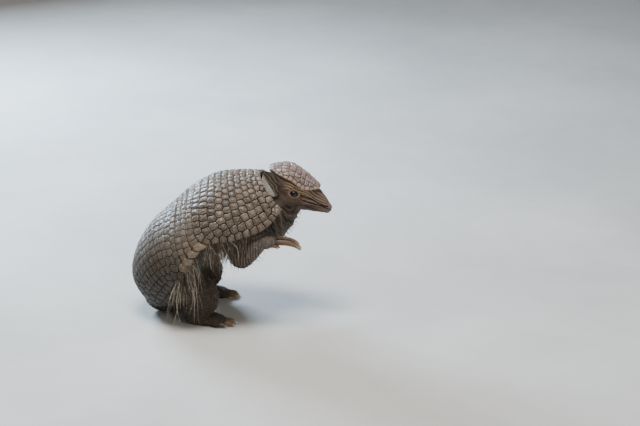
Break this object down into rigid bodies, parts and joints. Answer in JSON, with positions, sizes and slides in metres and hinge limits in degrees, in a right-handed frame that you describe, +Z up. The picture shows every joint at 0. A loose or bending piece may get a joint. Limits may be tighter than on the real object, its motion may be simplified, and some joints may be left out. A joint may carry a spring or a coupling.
{
  "type": "southern three-banded armadillo model",
  "caption": "Life-size still model of an armadillo with domed armour, jointed bands, long snout and digging claws, reared up on its hind feet with the forepaws raised.",
  "frame": {"origin": "on the floor, under the middle of the whole animal's box", "axes": "+X the way the nose points, +Y the animal's left, +Z up from the floor"},
  "size_m": [0.2014, 0.1174, 0.1581],
  "materials": {
    "armour": "satin, horny scutes",
    "band": "satin, horny scutes",
    "head_shield": "satin, horny scutes",
    "skin": "matt, wrinkled",
    "ear": "matt, granular",
    "eye": "wet gloss",
    "claw": "satin horn",
    "hair": "coarse bristle hair"
  },
  "bodies": {
    "root": {"pectoral_shield": "armour", "pelvic_shield": "armour", "band_1": "band", "band_2": "band", "band_3": "band", "head_shield": "head_shield", "trunk": "skin", "neck": "skin", "head": "skin", "tail": "skin", "eye_right": "eye", "ear_right": "ear", "claw_fore_right_1": "claw", "claw_fore_right_2": "claw", "claw_fore_right_3": "claw", "claw_fore_right_4": "claw", "forefoot_right": "skin", "foreleg_right": "skin", "claw_hind_right_1": "claw", "claw_hind_right_2": "claw", "claw_hind_right_3": "claw", "claw_hind_right_4": "claw", "claw_hind_right_5": "claw", "hindfoot_right": "skin", "hindleg_right": "skin", "eye_left": "eye", "ear_left": "ear", "claw_fore_left_1": "claw", "claw_fore_left_2": "claw", "claw_fore_left_3": "claw", "claw_fore_left_4": "claw", "forefoot_left": "skin", "foreleg_left": "skin", "claw_hind_left_1": "claw", "claw_hind_left_2": "claw", "claw_hind_left_3": "claw", "claw_hind_left_4": "claw", "claw_hind_left_5": "claw", "hindfoot_left": "skin", "hindleg_left": "skin"}
  },
  "joints": []
}
